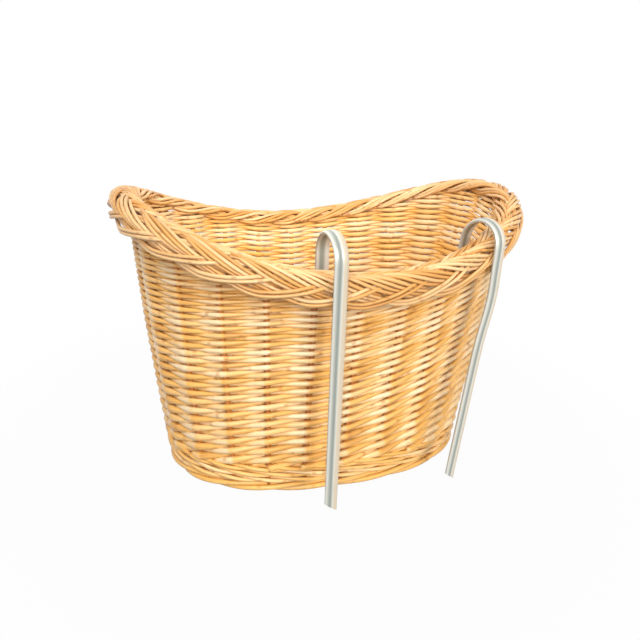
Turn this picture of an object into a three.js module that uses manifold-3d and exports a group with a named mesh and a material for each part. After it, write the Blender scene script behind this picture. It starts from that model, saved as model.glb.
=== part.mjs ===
// Oval willow bicycle basket with a plaited border and two bent strip hooks over its back rim.
// Millimetres, +Z up. The origin is on the floor under the middle of the base, the hooks are on the -Y side.

import * as THREE from 'three';
import { mergeVertices } from 'three/addons/utils/BufferGeometryUtils.js';
import Module from 'manifold-3d';

// Basket outline
const RIM_LENGTH = 400;
const RIM_WIDTH = 284;
const RIM_POWER = 2.2;
const BASE_LENGTH = 312;
const BASE_WIDTH = 204;
const BASE_POWER = 2.35;
const END_HEIGHT = 276;
const BACK_HEIGHT = 229;
const FRONT_HEIGHT = 223;
const DIP_POWER = 1.8;
const DIP_TURN = 3;
const BELLY = 2.2;

// Woven wall and the stakes inside it; the side weave swells over each stake and is thin between two
const WALL_THICKNESS = 11;
const SPAN_THICKNESS = 5;
const STAKE_COUNT = 24;
const STAKE_BUTT_DIAMETER = 6;
const STAKE_TIP_DIAMETER = 4.6;
const STAKE_START = 3;
const FOOT_HEIGHT = 11;
const FOOT_PROUD = 2;
const UPSETT_HEIGHT = 20;
const UPSETT_PROUD = 1.2;
const LOWER_COURSE_SHARE = 0.52;

// Plaited border, which hangs lower outside than inside
const STRAND_COUNT = 3;
const BIGHTS_PER_STRAND = 8;
const STRAND_WIDTH = 14;
const STRAND_THICKNESS = 4.8;
const PLAIT_CORE_RADIUS = 1.4;
const PLAIT_SHIFT = 6.5;
const PLAIT_START = 80;
const BORDER_OVERHANG = 5.5;

// Base
const BASE_THICKNESS = 10;
const LONG_STICK_COUNT = 3;
const LONG_STICK_DIAMETER = 4.6;
const CROSS_STICK_COUNT = 7;
const CROSS_STICK_DIAMETER = 8;
const CROSS_STICK_PITCH = 32;

// Strip hooks, standing on the floor and leaning out with the wall
const HOOK_WIDTH = 12;
const HOOK_THICKNESS = 3.6;
const HOOK_CROWN = 1.2;
const HOOK_GROOVE_WIDTH = 1.6;
const HOOK_GROOVE_DEPTH = 0.5;
const HOOK_EDGE = 0.8;
const HOOK_PLAY = 5.2;
const HOOK_HEADROOM = 13;
const HOOK_SHORT_LEG = 78;
const HOOK_END_SLANT = 9;
const HOOK_LEAN = 2.4;
const HOOKS = [
  { name: 'hook_left', at: -97.3, turn: 4.7, tilt: -1.65 },
  { name: 'hook_right', at: -52.1, turn: 18, tilt: 3.2 },
];

// Fits and mesh fineness
const CLEARANCE = 0.3;
const STRAND_CLEARANCE = 0.4;
const BORDER_SEAT_CLEARANCE = 0.8;
const COLUMNS_PER_STAKE = 2;
const STAKE_SIDES = 6;
const STAKE_LEVELS = 4;
const WALE_LEVELS = 2;
const COURSE_LEVELS = 3;
const STRAND_SIDES = 6;
const STEPS_PER_BIGHT = 12;
const ARCH_STEPS = 13;
const SEAT_STEPS = 16;
const OUTLINE_STEPS = 720;
const WELD_DISTANCE = 1e-4;

const TURN = 2 * Math.PI;
const UP = new THREE.Vector3(0, 0, 1);
// Three strands abreast swing to both sides, and a strand lifts by its own thickness over the next.
const SWING_PER_WIDTH = 0.94;
const PLAIT_SWING = STRAND_WIDTH * SWING_PER_WIDTH;
const PLAIT_LIFT = STRAND_THICKNESS + STRAND_CLEARANCE;
const PLAIT_RADIUS = PLAIT_CORE_RADIUS + PLAIT_LIFT + STRAND_THICKNESS / 2;
const BORDER_HALF_WIDTH = PLAIT_RADIUS + PLAIT_LIFT + STRAND_THICKNESS / 2;
const INNER_DROP = PLAIT_SWING + STRAND_WIDTH / 2 - PLAIT_SHIFT - (PLAIT_RADIUS * Math.PI) / 2;
const BORDER_OUTLINE = {
  halfLength: RIM_LENGTH / 2 - BORDER_HALF_WIDTH,
  halfWidth: RIM_WIDTH / 2 - BORDER_HALF_WIDTH,
  power: RIM_POWER,
};
const WALL_TOP_OUTLINE = {
  halfLength: BORDER_OUTLINE.halfLength - BORDER_OVERHANG,
  halfWidth: BORDER_OUTLINE.halfWidth - BORDER_OVERHANG,
  power: RIM_POWER,
};
const WALL_FOOT_OUTLINE = {
  halfLength: BASE_LENGTH / 2 - FOOT_PROUD - WALL_THICKNESS / 2,
  halfWidth: BASE_WIDTH / 2 - FOOT_PROUD - WALL_THICKNESS / 2,
  power: BASE_POWER,
};

const wasm = await Module();
wasm.setup();

// Outline: ovals between an ellipse and a rounded rectangle

function ovalPoint(outline, angle) {
  const c = Math.cos(angle);
  const s = Math.sin(angle);
  const x = Math.sign(c) * Math.abs(c) ** (2 / outline.power);
  const y = Math.sign(s) * Math.abs(s) ** (2 / outline.power);
  return new THREE.Vector3(outline.halfLength * x, outline.halfWidth * y, 0);
}

function ovalNormal(outline, angle) {
  const point = ovalPoint(outline, angle);
  const x = point.x / outline.halfLength;
  const y = point.y / outline.halfWidth;
  const bend = outline.power - 1;
  return new THREE.Vector3(
    (Math.sign(x) * Math.abs(x) ** bend) / outline.halfLength,
    (Math.sign(y) * Math.abs(y) ** bend) / outline.halfWidth,
    0,
  ).normalize();
}

// Returns a function from a distance along the outline to the angle there, and the outline's length.
function measureOutline(outline) {
  const lengths = [0];
  let last = ovalPoint(outline, 0);
  for (let i = 1; i <= OUTLINE_STEPS; i += 1) {
    const next = ovalPoint(outline, (i / OUTLINE_STEPS) * TURN);
    lengths.push(lengths[i - 1] + next.distanceTo(last));
    last = next;
  }
  const total = lengths[OUTLINE_STEPS];
  const angleAt = (distance) => {
    const wrapped = ((distance % total) + total) % total;
    let i = 1;
    while (lengths[i] < wrapped) i += 1;
    const share = (wrapped - lengths[i - 1]) / (lengths[i] - lengths[i - 1]);
    return ((i - 1 + share) / OUTLINE_STEPS) * TURN;
  };
  return { total, angleAt };
}

// Height of the middle of the border: high at both ends, dipping along the back and the front.
function borderHeight(angle) {
  const end = END_HEIGHT - BORDER_HALF_WIDTH;
  const turned = angle - THREE.MathUtils.degToRad(DIP_TURN);
  const middle = (Math.sin(turned) < 0 ? BACK_HEIGHT : FRONT_HEIGHT) - BORDER_HALF_WIDTH;
  return middle + (end - middle) * Math.abs(Math.cos(turned)) ** DIP_POWER;
}

function wallTop(angle) {
  return borderHeight(angle) - INNER_DROP - BORDER_SEAT_CLEARANCE;
}

// Point of the wall at a height, set out from its middle surface along the outline's normal.
function wallPoint(angle, height, outward) {
  const share = height / borderHeight(angle);
  const normal = ovalNormal(WALL_TOP_OUTLINE, angle);
  const point = ovalPoint(WALL_FOOT_OUTLINE, angle).lerp(ovalPoint(WALL_TOP_OUTLINE, angle), share);
  point.addScaledVector(normal, outward + BELLY * 4 * share * (1 - share));
  point.z = height;
  return point;
}

// Mesh helpers

// Joins rings of as many points each into one closed skin, as a closed loop or with two capped ends.
function loft(rings, closed) {
  const sides = rings[0].length;
  const positions = rings.flat().flatMap((p) => [p.x, p.y, p.z]);
  const index = [];
  const spans = closed ? rings.length : rings.length - 1;
  for (let i = 0; i < spans; i += 1) {
    const here = i * sides;
    const there = ((i + 1) % rings.length) * sides;
    for (let k = 0; k < sides; k += 1) {
      const next = (k + 1) % sides;
      index.push(here + k, there + k, there + next, here + k, there + next, here + next);
    }
  }
  if (!closed) {
    for (const [ring, start, flip] of [[rings[0], 0, false], [rings.at(-1), (rings.length - 1) * sides, true]]) {
      const middle = ring.reduce((sum, p) => sum.add(p), new THREE.Vector3()).divideScalar(sides);
      const centre = positions.length / 3;
      positions.push(middle.x, middle.y, middle.z);
      for (let k = 0; k < sides; k += 1) {
        const edge = [start + k, start + ((k + 1) % sides)];
        index.push(...(flip ? edge.reverse() : edge), centre);
      }
    }
  }
  const geometry = new THREE.BufferGeometry();
  geometry.setAttribute('position', new THREE.Float32BufferAttribute(positions, 3));
  geometry.setIndex(index);
  return faceOutward(geometry);
}

function signedVolume(geometry) {
  const position = geometry.attributes.position;
  const index = geometry.index;
  const [a, b, c] = [new THREE.Vector3(), new THREE.Vector3(), new THREE.Vector3()];
  let sum = 0;
  for (let i = 0; i < index.count; i += 3) {
    a.fromBufferAttribute(position, index.getX(i));
    b.fromBufferAttribute(position, index.getX(i + 1));
    c.fromBufferAttribute(position, index.getX(i + 2));
    sum += a.dot(b.cross(c)) / 6;
  }
  return sum;
}

function faceOutward(geometry) {
  if (signedVolume(geometry) < 0) geometry.index.array.reverse();
  return geometry;
}

function toSolid(geometry) {
  const bare = geometry.clone();
  bare.deleteAttribute('normal');
  bare.deleteAttribute('uv');
  const merged = mergeVertices(bare, WELD_DISTANCE);
  return new wasm.Manifold(new wasm.Mesh({
    numProp: 3,
    vertProperties: new Float32Array(merged.attributes.position.array),
    triVerts: new Uint32Array(merged.index.array),
  }));
}

function cut(geometry, tools) {
  const solid = tools.reduce((left, tool) => left.subtract(tool), toSolid(geometry));
  const mesh = solid.getMesh();
  const result = new THREE.BufferGeometry();
  result.setAttribute('position', new THREE.Float32BufferAttribute(mesh.vertProperties, 3));
  result.setIndex(Array.from(mesh.triVerts));
  return result;
}

const basket = new THREE.Group();

function addMesh(name, geometry, finish) {
  geometry.computeVertexNormals();
  const mesh = new THREE.Mesh(geometry, new THREE.MeshStandardMaterial(finish));
  mesh.name = name;
  basket.add(mesh);
}

const WEAVE_FINISH = { color: 0xdcae6a, roughness: 0.55, metalness: 0 };
const STAKE_FINISH = { color: 0xc98f4a, roughness: 0.55, metalness: 0 };
const BORDER_FINISH = { color: 0xe3b876, roughness: 0.5, metalness: 0 };
const STICK_FINISH = { color: 0xb98446, roughness: 0.6, metalness: 0 };
const STRIP_FINISH = { color: 0xc9ccca, roughness: 0.35, metalness: 1 };

// Stakes, and the channels that they run in

const wallMeasure = measureOutline(WALL_TOP_OUTLINE);
const columnCount = STAKE_COUNT * COLUMNS_PER_STAKE;
const columnAngles = Array.from({ length: columnCount }, (_, i) => (
  wallMeasure.angleAt((i / columnCount) * wallMeasure.total)
));
const stakeAngles = columnAngles.filter((_, i) => i % COLUMNS_PER_STAKE === 0);

// Level rings round a stake's line, wider than the stake by a gain.
function stakeRings(angle, gain) {
  const top = wallTop(angle);
  return Array.from({ length: STAKE_LEVELS }, (_, level) => {
    const share = level / (STAKE_LEVELS - 1);
    const radius = THREE.MathUtils.lerp(STAKE_BUTT_DIAMETER, STAKE_TIP_DIAMETER, share) / 2 + gain;
    const centre = wallPoint(angle, THREE.MathUtils.lerp(STAKE_START, top, share), 0);
    return Array.from({ length: STAKE_SIDES }, (__, k) => new THREE.Vector3(
      centre.x + radius * Math.cos((k / STAKE_SIDES) * TURN),
      centre.y + radius * Math.sin((k / STAKE_SIDES) * TURN),
      centre.z,
    ));
  });
}

function raised(ring, rise) {
  return ring.map((point) => point.clone().addScaledVector(UP, rise));
}

function stakeChannel(angle) {
  const rings = stakeRings(angle, CLEARANCE);
  return loft([raised(rings[0], -CLEARANCE), ...rings, raised(rings.at(-1), WALL_THICKNESS)], false);
}

stakeAngles.forEach((angle, i) => {
  addMesh(`stake_${String(i + 1).padStart(2, '0')}`, loft(stakeRings(angle, 0), false), STAKE_FINISH);
});
const stakeChannels = stakeAngles.map((angle) => toSolid(stakeChannel(angle)));

// Rings of weaving, each a closed band round the basket with a channel for every stake

function weaveBand(lowHeight, highHeight, proud, levels, spanThickness = WALL_THICKNESS) {
  const rings = columnAngles.map((angle, column) => {
    const half = (column % COLUMNS_PER_STAKE === 0 ? WALL_THICKNESS : spanThickness) / 2;
    const heights = Array.from({ length: levels }, (_, i) => (
      THREE.MathUtils.lerp(lowHeight(angle), highHeight(angle), i / (levels - 1))
    ));
    const outside = heights.map((height) => wallPoint(angle, height, half + proud));
    const inside = heights.map((height) => wallPoint(angle, height, -half));
    return [...outside, ...inside.reverse()];
  });
  return cut(loft(rings, true), stakeChannels);
}

const footTop = () => FOOT_HEIGHT;
const upsettTop = () => FOOT_HEIGHT + UPSETT_HEIGHT;
const courseJoin = (angle) => THREE.MathUtils.lerp(upsettTop(), wallTop(angle), LOWER_COURSE_SHARE);
const above = (height) => (angle) => height(angle) + CLEARANCE;

addMesh('foot_wale', weaveBand(() => 0, footTop, FOOT_PROUD, WALE_LEVELS), WEAVE_FINISH);
addMesh('upsett_wale', weaveBand(above(footTop), upsettTop, UPSETT_PROUD, WALE_LEVELS), WEAVE_FINISH);
[
  ['side_weave_lower', above(upsettTop), courseJoin],
  ['side_weave_upper', above(courseJoin), wallTop],
].forEach(([name, low, high]) => {
  addMesh(name, weaveBand(low, high, 0, COURSE_LEVELS, SPAN_THICKNESS), WEAVE_FINISH);
});

// Border: strands plaited flat, then folded over the rim as an upside-down U

const borderMeasure = measureOutline(BORDER_OUTLINE);

// along: distance round the rim; across: distance over the fold, outside positive; lift: height off the fold.
function borderPoint(along, across, lift) {
  const angle = borderMeasure.angleAt(along);
  const quarter = (PLAIT_RADIUS * Math.PI) / 2;
  const bend = THREE.MathUtils.clamp(across, -quarter, quarter) / PLAIT_RADIUS;
  const straight = Math.max(Math.abs(across) - quarter, 0);
  const point = ovalPoint(BORDER_OUTLINE, angle);
  point.z = borderHeight(angle) + (PLAIT_RADIUS + lift) * Math.cos(bend) - straight;
  return point.addScaledVector(ovalNormal(BORDER_OUTLINE, angle), (PLAIT_RADIUS + lift) * Math.sin(bend));
}

function strandRings(strand) {
  const steps = BIGHTS_PER_STRAND * STEPS_PER_BIGHT;
  const swingRate = (BIGHTS_PER_STRAND * TURN) / borderMeasure.total;
  return Array.from({ length: steps }, (_, i) => {
    const along = (i / steps) * borderMeasure.total;
    const phase = along * swingRate + (strand / STRAND_COUNT) * TURN + THREE.MathUtils.degToRad(PLAIT_START);
    const across = PLAIT_SHIFT + PLAIT_SWING * Math.sin(phase);
    const lift = PLAIT_LIFT * Math.sin(2 * phase);
    const slope = Math.atan(PLAIT_SWING * swingRate * Math.cos(phase));
    return Array.from({ length: STRAND_SIDES }, (__, k) => {
      const around = (k / STRAND_SIDES) * TURN;
      const aside = (STRAND_WIDTH / 2) * Math.cos(around);
      return borderPoint(
        along - aside * Math.sin(slope),
        across + aside * Math.cos(slope),
        lift + (STRAND_THICKNESS / 2) * Math.sin(around),
      );
    });
  });
}

const strands = Array.from({ length: STRAND_COUNT }, (_, strand) => strandRings(strand));
strands.forEach((rings, i) => addMesh(`border_strand_${i + 1}`, loft(rings, true), BORDER_FINISH));

// Base: cross sticks pierced by the long sticks, in a flat oval of weaving inside the foot

const baseMiddle = BASE_THICKNESS / 2;
const baseOutline = {
  halfLength: WALL_FOOT_OUTLINE.halfLength - WALL_THICKNESS / 2 - CLEARANCE,
  halfWidth: WALL_FOOT_OUTLINE.halfWidth - WALL_THICKNESS / 2 - CLEARANCE,
  power: BASE_POWER,
};
const longPitch = LONG_STICK_DIAMETER + CLEARANCE;
const slathWidth = longPitch * (LONG_STICK_COUNT - 1) + LONG_STICK_DIAMETER;

// Half of the base's extent along one axis, at a distance from its middle along the other.
function baseReach(halfHere, halfOther, offset) {
  return halfHere * (1 - Math.abs(offset / halfOther) ** baseOutline.power) ** (1 / baseOutline.power);
}

function rod(radius, halfLength, x, y, alongX) {
  const geometry = new THREE.CylinderGeometry(radius, radius, 2 * halfLength, STAKE_SIDES);
  if (alongX) geometry.rotateZ(Math.PI / 2);
  return geometry.translate(x, y, baseMiddle);
}

const longSticks = Array.from({ length: LONG_STICK_COUNT }, (_, i) => {
  const y = (i - (LONG_STICK_COUNT - 1) / 2) * longPitch;
  const edge = Math.abs(y) + LONG_STICK_DIAMETER / 2;
  return { y, reach: baseReach(baseOutline.halfLength, baseOutline.halfWidth, edge) - CLEARANCE };
});
const crossSticks = Array.from({ length: CROSS_STICK_COUNT }, (_, i) => {
  const x = (i - (CROSS_STICK_COUNT - 1) / 2) * CROSS_STICK_PITCH;
  const edge = Math.abs(x) + CROSS_STICK_DIAMETER / 2;
  return { x, reach: baseReach(baseOutline.halfWidth, baseOutline.halfLength, edge) - CLEARANCE };
});
const slathChannel = toSolid(new THREE.BoxGeometry(
  2 * (baseOutline.halfLength + WALL_THICKNESS),
  slathWidth + 2 * CLEARANCE,
  LONG_STICK_DIAMETER + 2 * CLEARANCE,
).translate(0, 0, baseMiddle));

longSticks.forEach(({ y, reach }, i) => {
  addMesh(`base_stick_long_${i + 1}`, rod(LONG_STICK_DIAMETER / 2, reach, 0, y, true), STICK_FINISH);
});
crossSticks.forEach(({ x, reach }, i) => {
  const stick = rod(CROSS_STICK_DIAMETER / 2, reach, x, 0, false);
  addMesh(`base_stick_cross_${i + 1}`, cut(stick, [slathChannel]), STICK_FINISH);
});

const baseShape = new THREE.Shape(Array.from({ length: columnCount }, (_, i) => {
  const point = ovalPoint(baseOutline, columnAngles[i]);
  return new THREE.Vector2(point.x, point.y);
}));
const baseSlab = new THREE.ExtrudeGeometry(baseShape, { depth: BASE_THICKNESS, bevelEnabled: false });
const crossChannels = crossSticks.map(({ x }) => (
  toSolid(rod(CROSS_STICK_DIAMETER / 2 + CLEARANCE, baseOutline.halfWidth + WALL_THICKNESS, x, 0, false))
));
addMesh('base_weave', cut(baseSlab, [...crossChannels, slathChannel]), WEAVE_FINISH);

// Hooks: one strip bent to an arch, with a long leg outside the rim and a short one inside

// Section of the strip: x across it, y from the flat inner face to the crowned and grooved outer face.
function stripSection() {
  const half = HOOK_WIDTH / 2;
  const shoulder = HOOK_THICKNESS - HOOK_CROWN;
  const groove = HOOK_GROOVE_WIDTH / 2;
  return [
    [-half + HOOK_EDGE, 0],
    [half - HOOK_EDGE, 0],
    [half, HOOK_EDGE],
    [half, shoulder],
    [half / 2, HOOK_THICKNESS],
    [groove, HOOK_THICKNESS],
    [0, HOOK_THICKNESS - HOOK_GROOVE_DEPTH],
    [-groove, HOOK_THICKNESS],
    [-half / 2, HOOK_THICKNESS],
    [-half, shoulder],
    [-half, HOOK_EDGE],
  ];
}

const clearSpan = 2 * BORDER_HALF_WIDTH + HOOK_PLAY;
const hookHeight = HOOK_THICKNESS + HOOK_HEADROOM + BORDER_HALF_WIDTH
  + Math.max(...HOOKS.map(({ at }) => borderHeight(THREE.MathUtils.degToRad(at))));

// How far the border stands out from a point under a leg, within the strip's width.
function borderReach(point, leg, sideways, facing) {
  const across = new THREE.Vector3().crossVectors(leg, facing);
  const halfStrip = Math.abs(across.dot(sideways)) * (HOOK_WIDTH / 2);
  const spots = strands.flatMap((rings) => rings.flatMap((ring, i) => {
    const next = rings[(i + 1) % rings.length];
    return ring.flatMap((corner, k) => Array.from({ length: SEAT_STEPS }, (_, step) => (
      corner.clone().lerp(next[k], step / SEAT_STEPS).sub(point)
    )));
  }));
  return Math.max(...spots.filter((spot) => Math.abs(spot.dot(across)) <= halfStrip).map((spot) => spot.dot(facing)));
}

function hookGeometry({ at, turn, tilt }) {
  const angle = THREE.MathUtils.degToRad(at);
  const heading = THREE.MathUtils.degToRad(turn);
  const outward = new THREE.Vector3(Math.sin(heading), -Math.cos(heading), 0);
  const sideways = new THREE.Vector3(Math.cos(heading), Math.sin(heading), 0);
  const leg = UP.clone()
    .addScaledVector(outward, Math.tan(THREE.MathUtils.degToRad(HOOK_LEAN)))
    .addScaledVector(sideways, Math.tan(THREE.MathUtils.degToRad(tilt)));
  const rim = ovalPoint(BORDER_OUTLINE, angle).setZ(borderHeight(angle));
  const facing = new THREE.Vector3().crossVectors(sideways, leg).normalize();
  const stand = (borderReach(rim, leg, sideways, facing) + CLEARANCE) / outward.dot(facing);
  const face = rim.clone().addScaledVector(outward, stand);
  const archRadius = clearSpan / 2;
  const archHeight = hookHeight - HOOK_THICKNESS - archRadius;
  const atHeight = (height) => face.clone().addScaledVector(leg, height - face.z);
  const section = stripSection();
  // Each ring of the sweep: the inner face's middle, the way the outer face looks, and the slant of the end.
  const ring = (middle, outer, slant) => section.map(([x, y]) => middle.clone()
    .addScaledVector(sideways, x)
    .addScaledVector(outer, y)
    .addScaledVector(leg, slant * (0.5 - x / HOOK_WIDTH)));
  const rings = [ring(atHeight(0), outward, HOOK_END_SLANT), ring(atHeight(archHeight), outward, 0)];
  const archMiddle = atHeight(archHeight).addScaledVector(outward, -archRadius);
  for (let i = 1; i <= ARCH_STEPS; i += 1) {
    const bend = (i / ARCH_STEPS) * Math.PI;
    const outer = outward.clone().multiplyScalar(Math.cos(bend)).addScaledVector(leg, Math.sin(bend));
    rings.push(ring(archMiddle.clone().addScaledVector(outer, archRadius), outer, 0));
  }
  const shortEnd = archMiddle.clone()
    .addScaledVector(outward, -archRadius)
    .addScaledVector(leg, hookHeight - HOOK_SHORT_LEG - archHeight);
  rings.push(ring(shortEnd, outward.clone().negate(), 0));
  return loft(rings, false);
}

HOOKS.forEach((hook) => addMesh(hook.name, hookGeometry(hook), STRIP_FINISH));

export default basket;
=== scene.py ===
"""Oval willow handlebar basket with a plaited border and two strip hooks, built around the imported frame."""

from __future__ import annotations

import logging
import math
import random
from dataclasses import dataclass, field
from enum import Enum
from typing import Any, Callable, Sequence

import bpy
import numpy as np
from mathutils import Matrix, Vector

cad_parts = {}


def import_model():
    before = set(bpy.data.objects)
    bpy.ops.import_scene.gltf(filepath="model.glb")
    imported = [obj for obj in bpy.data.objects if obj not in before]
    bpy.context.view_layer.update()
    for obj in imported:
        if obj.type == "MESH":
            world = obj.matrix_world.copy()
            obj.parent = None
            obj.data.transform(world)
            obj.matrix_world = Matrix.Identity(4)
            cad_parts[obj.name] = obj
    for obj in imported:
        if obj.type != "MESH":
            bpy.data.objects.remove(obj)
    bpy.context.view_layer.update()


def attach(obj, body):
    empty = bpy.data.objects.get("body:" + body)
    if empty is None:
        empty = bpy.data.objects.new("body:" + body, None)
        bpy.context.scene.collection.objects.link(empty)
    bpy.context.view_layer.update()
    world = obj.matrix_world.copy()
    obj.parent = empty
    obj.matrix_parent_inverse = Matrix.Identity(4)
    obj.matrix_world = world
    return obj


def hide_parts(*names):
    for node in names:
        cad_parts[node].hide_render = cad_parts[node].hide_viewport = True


Colour = tuple[float, float, float, float]
Place = tuple[float, float, float]

LOG = logging.getLogger("basket")
MM = 0.001
TURN = 2.0 * math.pi
SEED = 17
ROD_UV = "rod"
TINT = "rod_tint"
# Per-point painted highlight and painted shade of the rods, read by the willow finishes.
PAINTED_SHEEN = "rod_painted_sheen"
# Painted-sheen level of rods that get no painted highlight or shade.
PLAIN_PAINTED_SHEEN = 0.3
UPWARD = (0.0, 0.0, 1.0)
WHITE = (1.0, 1.0, 1.0, 1.0)


class Body(Enum):
    """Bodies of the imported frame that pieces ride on."""

    BASKET = "basket"
    HOOK_LEFT = "hook_left"
    HOOK_RIGHT = "hook_right"


class Slot(Enum):
    """Material slots of the record."""

    WEAVE = "willow_weave"
    STAKES = "willow_stakes"
    BORDER = "willow_border"
    STICKS = "willow_sticks"
    STRIP = "aluminium_strip"


def linear(red: int, green: int, blue: int) -> Colour:
    """Turns an 8-bit display colour into a linear one.

    Args:
        red: Red from 0 to 255.
        green: Green from 0 to 255.
        blue: Blue from 0 to 255.

    Returns:
        Linear red, green, blue and an alpha of 1.
    """
    parts = []
    for level in (red, green, blue):
        share = level / 255.0
        parts.append(share / 12.92 if share <= 0.04045 else ((share + 0.055) / 1.055) ** 2.4)
    return parts[0], parts[1], parts[2], 1.0


class Value:
    """A number socket of a shader graph, with the operators that build Math nodes."""

    def __init__(self, graph: Graph, socket: bpy.types.NodeSocket | None) -> None:
        """Keeps the graph and the socket."""
        self.graph = graph
        self.socket = socket

    def math(self, operation: str, *others: Any) -> Value:
        """Adds a Math node that starts from this value.

        Args:
            operation: Name of the Math operation.
            others: Further operands, values or numbers.

        Returns:
            The node's result.
        """
        inputs = dict(enumerate((self, *others)))
        return self.graph.node("ShaderNodeMath", {"operation": operation}, inputs)

    def __add__(self, other: Any) -> Value:
        """Sum."""
        return self.math("ADD", other)

    __radd__ = __add__

    def __mul__(self, other: Any) -> Value:
        """Product."""
        return self.math("MULTIPLY", other)

    __rmul__ = __mul__

    def __sub__(self, other: Any) -> Value:
        """Difference."""
        return self.math("SUBTRACT", other)

    def __rsub__(self, other: Any) -> Value:
        """Difference with this value taken away."""
        return self.graph.node("ShaderNodeMath", {"operation": "SUBTRACT"}, {0: other, 1: self})

    def step(self, low: float, high: float) -> Value:
        """Adds a smooth step from 0 to 1.

        Args:
            low: Level of this value at which the step starts.
            high: Level at which it ends.

        Returns:
            The step.
        """
        settings = {"interpolation_type": "SMOOTHSTEP"}
        inputs = {"Value": self, "From Min": low, "From Max": high}
        return self.graph.node("ShaderNodeMapRange", settings, inputs)


class Graph:
    """Node tree of one material or of the world."""

    def __init__(self, tree: bpy.types.NodeTree, material: bpy.types.Material | None = None) -> None:
        """Takes a tree and empties it.

        Args:
            tree: The node tree.
            material: Material that owns it, None for the world's tree.
        """
        self.material = material
        self.tree = tree
        self.tree.nodes.clear()

    @classmethod
    def of_material(cls, name: str) -> Graph:
        """Makes an empty material.

        Args:
            name: Name of the material.

        Returns:
            The material's graph.
        """
        material = bpy.data.materials.new(name)
        material.use_nodes = True
        return cls(material.node_tree, material)

    def node(self, kind: str, settings: dict[str, Any] | None = None, inputs: dict[Any, Any] | None = None,
             output: int | str = 0) -> Value:
        """Adds a node, sets it up and links its inputs.

        Args:
            kind: Node type.
            settings: Properties that are set first; the stops of a ramp come under "stops".
            inputs: Values or links by socket name or number.
            output: Socket that is returned.

        Returns:
            The chosen output, without a socket for a node that has none.
        """
        made = self.tree.nodes.new(kind)
        for key, setting in (settings or {}).items():
            if key == "stops":
                self._set_stops(made.color_ramp, setting)
            else:
                setattr(made, key, setting)
        for key, given in (inputs or {}).items():
            if isinstance(given, Value):
                self.tree.links.new(given.socket, made.inputs[key])
            else:
                made.inputs[key].default_value = given
        return Value(self, made.outputs[output] if len(made.outputs) else None)

    @staticmethod
    def _set_stops(ramp: bpy.types.ColorRamp, stops: Sequence[tuple[float, tuple[float, ...]]]) -> None:
        """Gives a colour ramp its stops.

        Args:
            ramp: The ramp.
            stops: Place and colour of each stop.
        """
        while len(ramp.elements) < len(stops):
            ramp.elements.new(1.0)
        for element, (position, colour) in zip(ramp.elements, stops):
            element.position = position
            element.color = colour

    def mix(self, factor: Any, first: Any, second: Any) -> Value:
        """Mixes two colours by the share of the second."""
        return self.node("ShaderNodeMix", {"data_type": "RGBA"}, {0: factor, 6: first, 7: second}, output=2)

    def noise(self, vector: Value, scale: float, detail: float) -> Value:
        """Noise from 0 to 1 at a place."""
        return self.node("ShaderNodeTexNoise", {}, {"Vector": vector, "Scale": scale, "Detail": detail})

    def rod_place(self) -> tuple[Value, Value]:
        """Finds the place on a rod.

        Returns:
            The distance along the rod in metres, and the share of the way round it.
        """
        uv = self.node("ShaderNodeUVMap", {"uv_map": ROD_UV})
        along, around = (self.node("ShaderNodeSeparateXYZ", {}, {0: uv}, output=axis) for axis in "XY")
        return along, around

    def surface(self, inputs: dict[str, Any]) -> bpy.types.Material:
        """Ends the tree in one Principled surface.

        Args:
            inputs: Values or links of the Principled sockets.

        Returns:
            The finished material.
        """
        self.end("ShaderNodeOutputMaterial", self.node("ShaderNodeBsdfPrincipled", {}, inputs))
        return self.material

    def end(self, kind: str, shader: Value) -> None:
        """Ends the tree in an output of that type."""
        self.node(kind, {}, {"Surface": shader})

    def seen_directly(self) -> Value:
        """Tells the rays by which a surface is seen from those that only light it.

        Returns:
            1 for rays from the camera and for mirrored or refracted ones, 0 for the rest.
        """
        seen = self.node("ShaderNodeLightPath", output="Is Camera Ray")
        mirrored = self.node("ShaderNodeLightPath", output="Is Glossy Ray")
        through = self.node("ShaderNodeLightPath", output="Is Transmission Ray")
        return seen.math("MAXIMUM", mirrored).math("MAXIMUM", through)


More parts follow.
